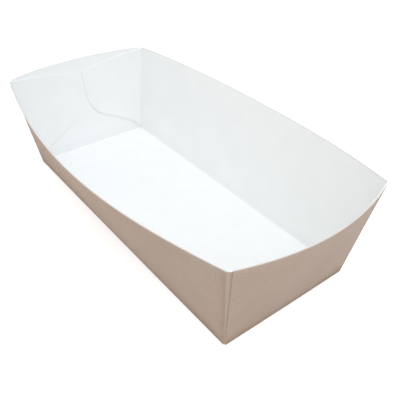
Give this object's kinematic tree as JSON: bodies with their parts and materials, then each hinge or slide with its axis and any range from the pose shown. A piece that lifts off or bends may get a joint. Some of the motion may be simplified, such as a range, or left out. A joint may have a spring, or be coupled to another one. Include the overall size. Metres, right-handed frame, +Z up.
{
  "type": "food tray",
  "caption": "Folded kraft board food tray with a flat bottom, bowed leaning walls and glued corner tabs, kraft outside and white inside.",
  "frame": {"origin": "middle of the bottom's underside", "axes": "+X along the tray, +Y across it, +Z up out of its open top"},
  "size_m": [0.1942, 0.108, 0.0499],
  "materials": {
    "kraft_board": "matt kraft outside, smooth white food-grade coating inside"
  },
  "bodies": {
    "root": {"folded_tray": "kraft_board"}
  },
  "joints": []
}
